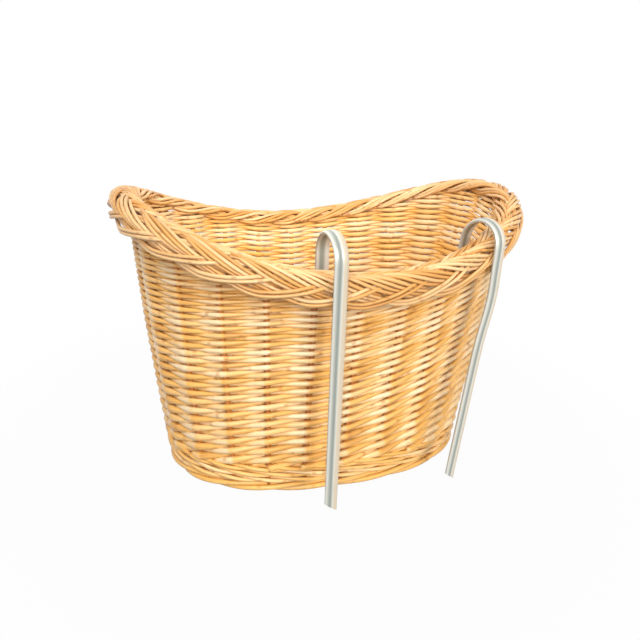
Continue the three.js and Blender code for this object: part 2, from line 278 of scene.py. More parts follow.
@dataclass(frozen=True)
class WillowFinish:
    """Peeled and varnished willow, with its own shade in every rod."""

    name: str
    deep: Colour
    honey: Colour
    pale: Colour
    gloss: float = 0.34
    gloss_change: float = 0.22
    coat: float = 0.22
    coat_gloss: float = 0.28
    shine: float = 0.6
    bump: float = 0.35
    bump_height: float = 0.0005
    fibre_pitch: float = 16.0
    fibre_spread: float = 1.9
    cloud_scale: float = 34.0
    knots_per_metre: float = 17.0
    tint_share: float = 0.3
    cloud_share: float = 0.2
    streak_share: float = 0.45
    # Strength of the painted highlight and painted shade.
    painted_sheen_share: float = 0.45
    darkening: float = 0.13
    knot_share: float = 0.5
    speck_share: float = 0.22

    def make(self) -> bpy.types.Material:
        """Builds the material.

        Returns:
            The finished material.
        """
        graph = Graph.of_material(self.name)
        along, share = graph.rod_place()
        around = share * TURN
        tint = graph.node("ShaderNodeAttribute", {"attribute_name": TINT}, output="Fac")
        fibre = graph.node("ShaderNodeCombineXYZ", {}, {
            0: along * self.fibre_pitch + tint * 90.0,
            1: around.math("COSINE") * self.fibre_spread,
            2: around.math("SINE") * self.fibre_spread,
        })
        streak = graph.noise(fibre, 1.6, 4.0)
        place = graph.node("ShaderNodeTexCoord", output="Object")
        cloud = graph.noise(place, self.cloud_scale, 3.0)
        # Painted highlight and painted shade: the rods' sheen attribute lifts or lowers the lightness.
        painted_sheen = graph.node("ShaderNodeAttribute", {"attribute_name": PAINTED_SHEEN}, output="Fac")
        own_shade = tint * self.tint_share + cloud * self.cloud_share + streak * self.streak_share
        lightness = own_shade + painted_sheen * self.painted_sheen_share - self.darkening
        stops = [(0.0, self.deep), (0.42, self.honey), (0.95, self.pale)]
        shade = graph.node("ShaderNodeValToRGB", {"stops": stops}, {0: lightness})
        ring_at = graph.node("ShaderNodeTexVoronoi", {"voronoi_dimensions": "1D"}, {
            "W": along * self.knots_per_metre + tint * 53.0,
            "Scale": 1.0,
            "Randomness": 1.0,
        })
        knot = 1.0 - ring_at.step(0.012, 0.05)
        knot_side = graph.noise(fibre, 0.8, 1.0).step(0.42, 0.62)
        mark = knot * knot_side
        colour = graph.mix(mark * self.knot_share, shade, self.deep)
        speck = graph.noise(fibre, 6.0, 2.0).step(0.63, 0.75)
        colour = graph.mix(speck * self.speck_share, colour, self.deep)
        normal = graph.node("ShaderNodeBump", {}, {
            "Strength": self.bump,
            "Distance": self.bump_height,
            "Height": streak * 0.7 + mark * 0.9,
        })
        return graph.surface({
            "Base Color": colour,
            "Roughness": streak * self.gloss_change + self.gloss,
            "Coat Weight": self.coat,
            "Coat Roughness": self.coat_gloss,
            "Specular IOR Level": self.shine,
            "Normal": normal,
        })


@dataclass(frozen=True)
class StripFinish:
    """Satin drawn aluminium strip with fine lines along it."""

    name: str
    pale: Colour
    dull: Colour
    # The two colours below are painted shade along the grooves and a painted reflection of the willow in the
    # metal.
    groove: Colour
    painted_willow_reflection: Colour
    metal: float = 0.5
    gloss: float = 0.26
    haze_share: float = 0.35
    bump: float = 0.18
    bump_height: float = 0.0003

    def make(self) -> bpy.types.Material:
        """Builds the material.

        Returns:
            The finished material.
        """
        graph = Graph.of_material(self.name)
        along, around = graph.rod_place()
        line_place = graph.node("ShaderNodeCombineXYZ", {}, {0: along * 3.0, 1: around * 130.0, 2: 0.0})
        lines = graph.noise(line_place, 1.0, 3.0)
        place = graph.node("ShaderNodeTexCoord", output="Object")
        haze = graph.noise(place, 60.0, 3.0)
        scratch_place = graph.node("ShaderNodeCombineXYZ", {}, {0: along * 40.0, 1: around * 60.0, 2: 3.0})
        scratch = graph.noise(scratch_place, 1.0, 1.0).step(0.7, 0.8)
        # Bands round the strip: painted shade along the inner and outer grooves and a painted reflection of
        # the willow on one side; pale and dull are the metal's own tone.
        inner_face = [(0.02, self.pale), (0.07, self.groove), (0.12, self.groove), (0.17, self.pale)]
        willow_reflection_band = [(0.29, self.pale), (0.36, self.painted_willow_reflection), (0.52, self.painted_willow_reflection), (0.57, self.pale)]
        furrow_shade_band = [(0.62, self.dull), (0.68, self.groove), (0.74, self.groove), (0.81, self.dull)]
        cool_side = [(0.87, self.pale), (0.94, self.dull)]
        stops = inner_face + willow_reflection_band + furrow_shade_band + cool_side
        painted_bands = graph.node("ShaderNodeValToRGB", {"stops": stops}, {0: around})
        colour = graph.mix((haze * 0.6 + lines * 0.4) * self.haze_share, painted_bands, self.dull)
        normal = graph.node("ShaderNodeBump", {}, {
            "Strength": self.bump,
            "Distance": self.bump_height,
            "Height": lines - scratch * 0.4,
        })
        return graph.surface({
            "Base Color": colour,
            "Metallic": self.metal,
            "Roughness": lines * 0.14 + haze * 0.12 + scratch * 0.1 + self.gloss,
            "Normal": normal,
        })


class RodMesh:
    """Gathers tubes into one mesh, with a shade for each and a place along and around it."""

    def __init__(self, sides: int = 8) -> None:
        """Starts empty.

        Args:
            sides: Corners of a rod's section.
        """
        self.sides = sides
        self.points: list[np.ndarray] = []
        self.tints: list[np.ndarray] = []
        self.painted_sheens: list[np.ndarray] = []
        self.faces: list[list[int]] = []
        self.uvs: list[tuple[float, float]] = []
        self.flat: list[bool] = []
        self.count = 0

    def add(self, path: np.ndarray, outward: np.ndarray, half_width: Any, half_depth: Any, closed: bool,
            tint: float, painted_sheen: Any = PLAIN_PAINTED_SHEEN) -> None:
        """Adds one rod.

        Args:
            path: Middle line, one row for each point, in millimetres.
            outward: Direction of the section's depth at each point.
            half_width: Half of the section across that direction, one number or one for each point.
            half_depth: Half of the section along that direction.
            closed: True for a loop.
            tint: Shade of the rod, from 0 to 1.
            painted_sheen: Painted highlight and painted shade on the varnish, from 0 to 1, one number or one
                for each point.
        """
        section = np.arange(self.sides) / self.sides * TURN
        profile = np.stack([np.sin(section), np.cos(section)], axis=1)
        wide = np.broadcast_to(np.asarray(half_width, float), (len(path),))
        deep = np.broadcast_to(np.asarray(half_depth, float), (len(path),))
        ahead = np.roll(path, -1, axis=0)
        behind = np.roll(path, 1, axis=0)
        if not closed:
            ahead[-1] = path[-1]
            behind[0] = path[0]
        tangent = unit(ahead - behind)
        normal = unit(outward - tangent * np.sum(outward * tangent, axis=1, keepdims=True))
        across = np.cross(tangent, normal)
        ring = (path[:, None, :]
                + across[:, None, :] * (profile[None, :, 0:1] * wide[:, None, None])
                + normal[:, None, :] * (profile[None, :, 1:2] * deep[:, None, None]))
        self.loft(ring, closed, tint, painted_sheen)

    def loft(self, rings: np.ndarray, closed: bool, tint: float, painted_sheen: Any = PLAIN_PAINTED_SHEEN) -> None:
        """Joins rings of as many points each.

        Args:
            rings: Points by ring, corner and axis, in millimetres.
            closed: True for a loop, False for two capped ends.
            tint: Shade of the rod, from 0 to 1.
            painted_sheen: Painted highlight and painted shade on the varnish, from 0 to 1, one number or one
                for each ring.
        """
        count, sides = rings.shape[:2]
        middle = rings.mean(axis=1)
        steps = np.linalg.norm(np.roll(middle, -1, axis=0) - middle, axis=1) * MM
        along = np.concatenate([[0.0], np.cumsum(steps)])
        base = self.count
        spans = count if closed else count - 1
        for i in range(spans):
            here = base + i * sides
            there = base + (i + 1) % count * sides
            for k in range(sides):
                after = (k + 1) % sides
                self.faces.append([here + k, here + after, there + after, there + k])
                low, high = k / sides, (k + 1) / sides
                self.uvs += [(along[i], low), (along[i], high), (along[i + 1], high), (along[i + 1], low)]
                self.flat.append(False)
        if not closed:
            last = base + (count - 1) * sides
            for start, order in ((base, range(sides - 1, -1, -1)), (last, range(sides))):
                self.faces.append([start + k for k in order])
                end = along[0] if start == base else along[count - 1]
                self.uvs += [(end, k / sides) for k in order]
                self.flat.append(True)
        self.points.append(rings.reshape(-1, 3))
        self.tints.append(np.full(count * sides, tint))
        self.painted_sheens.append(np.repeat(np.broadcast_to(np.asarray(painted_sheen, float), (count,)), sides))
        self.count += count * sides

    def build(self, name: str, material: bpy.types.Material) -> bpy.types.Object:
        """Makes the mesh object.

        Args:
            name: Name of the piece.
            material: Finish of the piece.

        Returns:
            The new object, in metres.
        """
        mesh = bpy.data.meshes.new(name)
        points = np.concatenate(self.points) * MM
        mesh.from_pydata(points.tolist(), [], self.faces)
        layer = mesh.uv_layers.new(name=ROD_UV)
        layer.data.foreach_set("uv", np.asarray(self.uvs, np.float32).ravel())
        for attribute, parts in ((TINT, self.tints), (PAINTED_SHEEN, self.painted_sheens)):
            shade = mesh.attributes.new(attribute, "FLOAT", "POINT")
            shade.data.foreach_set("value", np.concatenate(parts).astype(np.float32))
        mesh.polygons.foreach_set("use_smooth", [not flat for flat in self.flat])
        mesh.materials.append(material)
        mesh.update()
        made = bpy.data.objects.new(name, mesh)
        bpy.context.scene.collection.objects.link(made)
        return made


def unit(vectors: np.ndarray) -> np.ndarray:
    """Scales each row to a length of 1."""
    return vectors / np.linalg.norm(vectors, axis=1, keepdims=True)


def place_piece(piece: bpy.types.Object, body: Body, slot: Slot, *nodes: str) -> None:
    """Ties a piece to the frame.

    Args:
        piece: The new piece.
        body: Body that it rides on.
        slot: Slot of the record for the piece; not used.
        nodes: Nodes that it stands for.
    """
    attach(piece, body.value)
    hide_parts(*nodes)
    LOG.info("%s on %s: %d faces", piece.name, body.value, len(piece.data.polygons))


@dataclass(frozen=True)
class Oval:
    """Outline between an ellipse and a rounded rectangle, in millimetres."""

    half_length: float
    half_width: float
    power: float

    def points(self, angle: np.ndarray) -> np.ndarray:
        """Finds points of the outline.

        Args:
            angle: Angles round the outline.

        Returns:
            The points, with a height of 0.
        """
        c, s = np.cos(angle), np.sin(angle)
        x = np.sign(c) * np.abs(c) ** (2.0 / self.power) * self.half_length
        y = np.sign(s) * np.abs(s) ** (2.0 / self.power) * self.half_width
        return np.stack([x, y, np.zeros_like(x)], axis=1)

    def normals(self, angle: np.ndarray) -> np.ndarray:
        """Finds the outward directions of the outline.

        Args:
            angle: Angles round the outline.

        Returns:
            A direction of length 1 for each angle.
        """
        point = self.points(angle)
        x, y = point[:, 0] / self.half_length, point[:, 1] / self.half_width
        bend = self.power - 1.0
        across = np.sign(x) * np.abs(x) ** bend / self.half_length
        upward = np.sign(y) * np.abs(y) ** bend / self.half_width
        return unit(np.stack([across, upward, np.zeros_like(x)], axis=1))

    def reach(self, share: float) -> float:
        """Share of one half axis that the outline reaches at a share of the other."""
        return (1.0 - abs(share) ** self.power) ** (1.0 / self.power)

    def ruler(self, steps: int = 2880) -> tuple[float, Callable[[np.ndarray], np.ndarray]]:
        """Measures the outline.

        Args:
            steps: Number of chords.

        Returns:
            The outline's length, and a function from distances along it to angles.
        """
        angle = np.linspace(0.0, TURN, steps + 1)
        chords = np.linalg.norm(np.diff(self.points(angle), axis=0), axis=1)
        lengths = np.concatenate([[0.0], np.cumsum(chords)])
        total = float(lengths[-1])
        return total, lambda distance: np.interp(np.mod(distance, total), lengths, angle)


@dataclass(frozen=True)
class BasketForm:
    """Sizes of the basket in millimetres, and the surfaces that its rods follow."""

    end_height: float = 276.0
    back_height: float = 229.0
    front_height: float = 223.0
    dip_power: float = 1.8
    dip_turn: float = math.radians(3.0)
    belly: float = 2.2
    foot_height: float = 11.0
    upsett_height: float = 20.0
    border_half_width: float = 16.6
    wall_gap: float = 0.32
    stake_count: int = 24
    border: Oval = Oval(183.4, 125.4, 2.2)
    wall_rim: Oval = Oval(177.9, 119.9, 2.2)
    wall_foot: Oval = Oval(148.5, 94.5, 2.35)

    def border_height(self, angle: np.ndarray) -> np.ndarray:
        """Finds the height of the border's middle, high at both ends.

        Args:
            angle: Angles round the basket.

        Returns:
            A height for each angle.
        """
        end = self.end_height - self.border_half_width
        turned = angle - self.dip_turn
        middle = np.where(np.sin(turned) < 0.0, self.back_height, self.front_height)
        middle = middle - self.border_half_width
        return middle + (end - middle) * np.abs(np.cos(turned)) ** self.dip_power

    def wall_top(self, angle: np.ndarray) -> np.ndarray:
        """Height at which the border takes over from the wall."""
        return self.border_height(angle) - self.wall_gap

    def wall_points(self, angle: np.ndarray, height: np.ndarray, outward: np.ndarray) -> np.ndarray:
        """Points of the wall, set out from its middle surface.

        Args:
            angle: Angles round the basket.
            height: Height of each point.
            outward: Distance of each point from the middle surface.

        Returns:
            The points.
        """
        share = (height / self.border_height(angle))[:, None]
        foot = self.wall_foot.points(angle)
        top = self.wall_rim.points(angle)
        bulge = outward[:, None] + self.belly * 4.0 * share * (1.0 - share)
        point = foot + (top - foot) * share + bulge * self.wall_rim.normals(angle)
        point[:, 2] = height
        return point

    def stake_angles(self) -> np.ndarray:
        """Angles of the stakes, evenly spaced round the wall's top."""
        total, angle_at = self.wall_rim.ruler()
        return angle_at(np.arange(self.stake_count) / self.stake_count * total)


@dataclass
class SideWeave:
    """Rods that climb round the wall side by side, over one stake and behind the next."""

    form: BasketForm
    first_row: int = -6
    last_row: int = 72
    lower_rows: int = 21
    foot_pitch: float = 5.8
    thinning: float = 0.0163
    follow: float = 0.3
    tilt: float = 0.13
    sway: float = 4.5
    sway_place: float = -45.0
    sway_reach: float = 26.0
    steps_per_stake: int = 10
    swing: float = 3.3
    peak: float = 0.985
    sag: float = 0.6
    depth_share: float = 0.54
    fullness: float = 0.52
    swell: float = 0.12
    tight_swell: float = 0.28
    tight_place: float = -95.0
    tight_reach: float = 50.0
    wobble: float = 0.25
    wobble_waves: tuple[float, ...] = (0.21, 0.43)
    butt_size: float = 1.07
    tip_loss: float = 0.14
    size_range: tuple[float, float] = (0.94, 1.06)
    # Painted highlight and painted shade along each rod: base level, forward flank, backward flank, inside
    # humps.
    painted_sheen: float = 0.24
    forward_painted_sheen: float = 0.5
    backward_painted_shade: float = -0.08
    inside_painted_sheen: float = 0.26
    head: float = 4.0
    tuck: float = 3.5
    overlap: float = 0.3
    chance: random.Random = field(default_factory=lambda: random.Random(SEED))

    def _painted_sheen(self, wave: np.ndarray) -> np.ndarray:
        """Finds the painted highlight on a rod, most where it comes forward to a stake, with painted shade
        where it goes back.

        Args:
            wave: Swing at each point, from -1 inside the wall to 1 outside.

        Returns:
            The painted highlight at each point, below the base level where shade is painted.
        """
        # Painted highlight on the flank that comes forward to a stake and on the humps inside the wall,
        # painted shade on the flank that goes back, as if lit from the left.
        outside = np.clip(2.0 * wave + 0.4, 0.0, 1.0)
        inside = np.clip(-2.0 * wave, 0.0, 1.0)
        change = np.where(np.gradient(wave) > 0.0, self.forward_painted_sheen, self.backward_painted_shade)
        return self.painted_sheen + change * outside + self.inside_painted_sheen * inside

    def _rod(self, mesh: RodMesh, first: int, row: np.ndarray) -> None:
        """Adds one climbing rod, in as many lengths as stay under the border.

        Args:
            mesh: Mesh that takes the rod.
            first: Stake at which the rod starts.
            row: Rows that it climbs through, counted in stakes from its start.
        """
        total, angle_at = self.form.wall_rim.ruler()
        angle = angle_at((first + row) / self.form.stake_count * total)
        low = self.form.foot_height + self.form.upsett_height
        top = self.form.wall_top(angle)
        even = float(np.mean(self.form.wall_top(np.linspace(0.0, TURN, 97)))) - low
        stretch = 1.0 + ((top - low) / even - 1.0) * self.follow
        thinner = np.exp(-self.thinning * (row + 0.5))
        pitch = stretch * self.foot_pitch * thinner
        climb = stretch * self.foot_pitch * (1.0 - thinner) / self.thinning
        drift = np.zeros_like(row)
        for waves in self.wobble_waves:
            drift += self.chance.uniform(-1, 1) * np.sin(row * waves + self.chance.uniform(0, TURN))
        place, side, _ = self.form.wall_rim.points(angle).T
        lean = self.tilt * place - self.sway * np.tanh((place - self.sway_place) / self.sway_reach)
        wave = np.arcsin(self.peak * np.cos(math.pi * row)) / math.asin(self.peak)
        height = low + climb + lean + wave * self.sag + drift * self.wobble
        offset = self.swing * wave
        taper = self.butt_size - self.tip_loss * (row - row[0]) / (row[-1] - row[0])
        taper = taper * self.chance.uniform(*self.size_range)
        tight = np.clip((side - self.tight_place) / self.tight_reach, 0.0, 1.0)
        wide = pitch * (self.fullness + (self.swell + self.tight_swell * tight) * np.abs(wave)) * taper
        points = self.form.wall_points(angle, height, offset)
        outward = self.form.wall_rim.normals(angle)
        tint = self.chance.random()
        # Painted highlight and painted shade along the rod.
        painted_sheen = self._painted_sheen(wave)
        kept = np.flatnonzero((height < top + self.head) & (height > low - self.tuck))
        for run in np.split(kept, np.flatnonzero(np.diff(kept) > 1) + 1):
            if len(run) >= self.steps_per_stake:
                deep = self.depth_share * pitch[run] * taper[run]
                mesh.add(points[run], outward[run], wide[run], deep, False, tint, painted_sheen[run])

    def build(self, finish: bpy.types.Material) -> None:
        """Makes the lower and the upper course.

        Args:
            finish: Finish of the rods.
        """
        courses = (
            ("side_weave_lower", self.first_row, self.lower_rows + self.overlap),
            ("side_weave_upper", self.lower_rows - self.overlap, self.last_row),
        )
        for node, start, end in courses:
            mesh = RodMesh()
            row = np.linspace(start, end, round((end - start) * self.steps_per_stake) + 1)
            for first in range(self.form.stake_count):
                self._rod(mesh, first, row)
            place_piece(mesh.build(f"{node}_rods", finish), Body.BASKET, Slot.WEAVE, node)


@dataclass
class Stakes:
    """Upright stakes that carry the weave."""

    form: BasketForm
    start: float = 3.0
    butt: float = 2.9
    tip: float = 2.6
    levels: int = 24
    chance: random.Random = field(default_factory=lambda: random.Random(SEED + 1))

    def build(self, finish: bpy.types.Material) -> None:
        """Makes every stake.

        Args:
            finish: Finish of the stakes.
        """
        share = np.linspace(0.0, 1.0, self.levels)
        radius = self.butt + (self.tip - self.butt) * share
        for number, at in enumerate(self.form.stake_angles(), start=1):
            angle = np.full(self.levels, at)
            height = self.start + (self.form.wall_top(angle) - self.start) * share
            path = self.form.wall_points(angle, height, np.zeros(self.levels))
            outward = self.form.wall_rim.normals(angle)
            mesh = RodMesh()
            mesh.add(path, outward, radius, radius, False, self.chance.random())
            node = f"stake_{number:02d}"
            place_piece(mesh.build(f"{node}_rod", finish), Body.BASKET, Slot.STAKES, node)


@dataclass
class Wales:
    """Twined rounds at the bottom of the wall, and the foot ring under them."""

    form: BasketForm
    rounds: int = 3
    rods_per_round: int = 3
    steps_per_stake: int = 8
    swing: float = 4.4
    stand_out: float = 0.3
    swing_share: float = 0.75
    round_shift: float = 0.8
    rise: float = 1.9
    half_depth: float = 1.9
    half_width: float = 1.85
    foot_twists: int = 5
    foot_rods: int = 3
    foot_rod_radius: float = 2.5
    foot_swing: float = 3.0
    foot_stand_out: float = 1.6
    chance: random.Random = field(default_factory=lambda: random.Random(SEED + 2))

    def _stations(self) -> tuple[np.ndarray, np.ndarray]:
        """Finds the points round the basket at which the rods are placed.

        Returns:
            Distances counted in stakes, and the angles there.
        """
        total, angle_at = self.form.wall_rim.ruler()
        station = np.arange(self.form.stake_count * self.steps_per_stake) / self.steps_per_stake
        return station, angle_at(station / self.form.stake_count * total)

    def build_upsett(self, finish: bpy.types.Material) -> None:
        """Makes the rounds in which each rod goes over two stakes and behind one.

        Args:
            finish: Finish of the rods.
        """
        station, angle = self._stations()
        outward = self.form.wall_rim.normals(angle)
        pitch = self.form.upsett_height / self.rounds
        mesh = RodMesh()
        for number in range(self.rounds):
            for rod in range(self.rods_per_round):
                phase = TURN * (station - rod) / self.rods_per_round - self.round_shift * number
                offset = self.swing * (self.stand_out + self.swing_share * np.cos(phase))
                height = self.form.foot_height + pitch * (number + 0.5) - self.rise * np.sin(phase)
                path = self.form.wall_points(angle, height, offset)
                mesh.add(path, outward, self.half_width, self.half_depth, True, self.chance.random())
        place_piece(mesh.build("upsett_wale_rods", finish), Body.BASKET, Slot.WEAVE, "upsett_wale")

    def build_foot(self, finish: bpy.types.Material) -> None:
        """Makes the foot ring of rods laid round each other.

        Args:
            finish: Finish of the rods.
        """
        station, angle = self._stations()
        outward = self.form.wall_foot.normals(angle)
        middle = self.form.foot_height / 2.0
        mesh = RodMesh()
        for rod in range(self.foot_rods):
            phase = TURN * (station / self.form.stake_count * self.foot_twists + rod / self.foot_rods)
            offset = self.foot_stand_out + self.foot_swing * np.cos(phase)
            height = middle + (middle - self.foot_rod_radius) * np.sin(phase)
            path = self.form.wall_points(angle, height, offset)
            mesh.add(path, outward, self.foot_rod_radius, self.foot_rod_radius, True, self.chance.random())
        place_piece(mesh.build("foot_wale_rods", finish), Body.BASKET, Slot.WEAVE, "foot_wale")


class Lay(Enum):
    """Where a rod of a border bundle runs, as its first and last phase in degrees."""

    THROUGH = (-75.0, 285.0)
    OUTSIDE = (-70.0, 66.0)
    INSIDE = (182.0, 285.0)


@dataclass
class PlaitedBorder:
    """Border of bundled rods, plaited flat and folded over the rim as an upside-down U."""

    form: BasketForm
    bights: int = 24
    leads: int = 7
    strands: int = 3
    fold_radius: float = 11.7
    lean: float = 0.17
    shift: float = 7.5
    swing: float = 21.5
    peak: float = 0.96
    lift: float = 2.3
    ridge: float = 14.6
    rod_radius: float = 1.62
    spread: float = 3.25
    tuck: float = 2.4
    end_tuck: float = 2.6
    end_reach: float = 0.3
    fan_place: float = math.radians(22.0)
    fan_level: float = 0.1
    fan_edge: float = 3.0
    fold_edge: float = 0.22
    ridge_edge: float = 0.32
    turn_edge: float = 4.0
    stray: tuple[float, float] = (0.1, 0.45)
    stray_waves: tuple[float, float] = (1.5, 4.0)
    size_range: tuple[float, float] = (0.88, 1.06)
    # Even painted-sheen level along every border rod, a little above the plain level.
    painted_sheen: float = 0.36
    core: float = 0.5
    bundle_rods: tuple[tuple[Lay, float], ...] = (
        (Lay.THROUGH, -0.5), (Lay.THROUGH, 0.5), (Lay.OUTSIDE, -1.5), (Lay.OUTSIDE, 1.5),
        (Lay.INSIDE, -1.5), (Lay.INSIDE, 1.5),
    )
    step: float = math.radians(3.6)
    chance: random.Random = field(default_factory=lambda: random.Random(SEED + 3))

    def fold(self, along: np.ndarray, across: np.ndarray,
             lift: np.ndarray) -> tuple[np.ndarray, np.ndarray]:
        """Lays points of the flat plait over the rim.

        Args:
            along: Distance round the rim.
            across: Distance over the fold, outside positive.
            lift: Height off the fold.

        Returns:
            The points, and the directions in which the fold faces there.
        """
        _, angle_at = self.form.border.ruler()
        angle = angle_at(along)
        quarter = self.fold_radius * math.pi / 2.0
        bend = (np.clip(across, -quarter, quarter) / self.fold_radius)[:, None]
        straight = np.maximum(np.abs(across) - quarter, 0.0)
        out = self.form.border.normals(angle)
        facing = out * np.sin(bend) + np.array(UPWARD) * np.cos(bend)
        point = self.form.border.points(angle) + facing * (self.fold_radius + lift)[:, None]
        point[:, 2] += self.form.border_height(angle) - straight
        point -= out * (self.lean * straight * np.sign(across))[:, None]
        return point, facing

    def rod(self, mesh: RodMesh, bundle: int, lay: Lay, seat: float) -> None:
        """Adds one rod of a bundle.

        Args:
            mesh: Mesh that takes the rod.
            bundle: Number of the bundle round the rim.
            lay: Where the rod runs.
            seat: Place of the rod in the bundle, counted in rods from its middle.
        """
        total, _ = self.form.border.ruler()
        pitch = total / self.bights
        reach = pitch * self.leads / TURN
        first, last = (math.radians(phase) for phase in lay.value)
        phase = np.linspace(first, last, round((last - first) / self.step) + 1)
        along = bundle * pitch + reach * phase
        across = self.shift + self.swing * np.arcsin(self.peak * np.sin(phase)) / math.asin(self.peak)
        slope = np.arctan2(np.gradient(across), np.gradient(along))
        opening = np.cos(2.0 * (phase - self.fan_place)) - self.fan_level
        fan = 0.5 + 0.5 * np.tanh(self.fan_edge * opening)
        narrow = max(-self.core, min(self.core, seat))
        aside = self.spread * (narrow + (seat - narrow) * fan)
        stray = self.chance.uniform(*self.stray)
        waves = self.chance.uniform(*self.stray_waves)
        aside = aside + stray * np.sin(phase * waves + self.chance.uniform(0, TURN))
        along = along - aside * np.sin(slope)
        across = across + aside * np.cos(slope)
        over = np.tanh(self.fold_edge * across) * np.tanh(self.ridge_edge * (self.ridge - across))
        lift = self.lift * over * np.tanh(self.turn_edge * np.cos(phase))
        from_end = np.minimum(phase - first, last - phase) / self.end_reach
        lift = lift - self.end_tuck * np.exp(-from_end ** 2)
        if abs(seat) > self.core:
            lift = lift - self.tuck * (1.0 - fan)
        path, facing = self.fold(along, across, lift)
        radius = self.rod_radius * self.chance.uniform(*self.size_range)
        mesh.add(path, facing, radius, radius, False, self.chance.random(), self.painted_sheen)

    def build(self, finish: bpy.types.Material) -> None:
        """Makes the bundles of each strand.

        Args:
            finish: Finish of the rods.
        """
        for strand in range(self.strands):
            mesh = RodMesh()
            for bundle in range(strand, self.bights, self.strands):
                for lay, seat in self.bundle_rods:
                    self.rod(mesh, bundle, lay, seat)
            node = f"border_strand_{strand + 1}"
            place_piece(mesh.build(f"{node}_rods", finish), Body.BASKET, Slot.BORDER, node)


@dataclass
class Base:
    """Flat oval base: sticks crossed in the middle, with rods woven round them."""

    middle: float = 6.0
    outline: Oval = Oval(142.7, 88.7, 2.35)
    slath_half_width: float = 8.0
    rod_radius: float = 1.8
    swing: float = 3.7
    rows: int = 22
    closing_rows: int = 1
    fullness: float = 0.62
    cross_count: int = 7
    cross_pitch: float = 32.0
    cross_radius: float = 2.7
    long_count: int = 3
    long_pitch: float = 4.9
    long_radius: float = 2.3
    stick_levels: int = 16
    stick_end: float = 6.0
    steps: int = 240
    chance: random.Random = field(default_factory=lambda: random.Random(SEED + 4))

    def _cross_places(self) -> list[float]:
        """Places of the cross sticks along the length."""
        return [(i - (self.cross_count - 1) / 2.0) * self.cross_pitch for i in range(self.cross_count)]

    def build_sticks(self, finish: bpy.types.Material) -> None:
        """Makes the long and the cross sticks.

        Args:
            finish: Finish of the sticks.
        """
        shape = self.outline
        for number in range(1, self.long_count + 1):
            y = (number - 1 - (self.long_count - 1) / 2.0) * self.long_pitch
            reach = shape.half_length * shape.reach((abs(y) + self.long_radius) / shape.half_width)
            end = Vector((reach, y, 0.0))
            self._stick(f"base_stick_long_{number}", end, True, self.long_radius, finish)
        for number, x in enumerate(self._cross_places(), start=1):
            reach = shape.half_width * shape.reach((abs(x) + self.cross_radius) / shape.half_length)
            end = Vector((x, reach, 0.0))
            self._stick(f"base_stick_cross_{number}", end, False, self.cross_radius, finish)

    def _stick(self, node: str, end: Vector, lengthwise: bool, radius: float,
               finish: bpy.types.Material) -> None:
        """Makes one stick from its end to the mirror image of that end.

        Args:
            node: Node that the stick stands for.
            end: End of the stick.
            lengthwise: True for a long stick, False for a cross stick.
            radius: Radius of the stick.
            finish: Finish of the stick.
        """
        share = np.linspace(-1.0, 1.0, self.stick_levels)
        path = np.zeros((self.stick_levels, 3))
        path[:, 0] = end.x * share if lengthwise else end.x
        path[:, 1] = end.y if lengthwise else end.y * share
        path[:, 2] = self.middle
        upward = np.tile(UPWARD, (self.stick_levels, 1))
        mesh = RodMesh()
        mesh.add(path, upward, radius, radius, False, self.chance.random())
        place_piece(mesh.build(f"{node}_rod", finish), Body.BASKET, Slot.STICKS, node)

    def build_weave(self, finish: bpy.types.Material) -> None:
        """Makes the rods woven round the sticks.

        Args:
            finish: Finish of the rods.
        """
        shape = self.outline
        pitch = (shape.half_width - self.slath_half_width) / self.rows
        mesh = RodMesh()
        for row in range(self.rows + self.closing_rows):
            inset = pitch * (self.rows - row - 0.5)
            ring = Oval(shape.half_length - inset, shape.half_width - inset, shape.power)
            angle = np.arange(self.steps) / self.steps * TURN
            point = ring.points(angle)
            crossings = [0.0, math.pi]
            for x in self._cross_places():
                if abs(x) < ring.half_length - self.stick_end:
                    c = np.sign(x) * abs(x / ring.half_length) ** (ring.power / 2.0)
                    crossings += [math.acos(c), TURN - math.acos(c)]
            crossings = sorted(crossings)
            station = np.interp(angle, crossings + [TURN], list(range(len(crossings) + 1)))
            point[:, 2] = self.middle + self.swing * np.cos(math.pi * (station + row))
            upward = np.tile(UPWARD, (self.steps, 1))
            mesh.add(point, upward, pitch * self.fullness, self.rod_radius, True, self.chance.random())
        place_piece(mesh.build("base_weave_rods", finish), Body.BASKET, Slot.WEAVE, "base_weave")


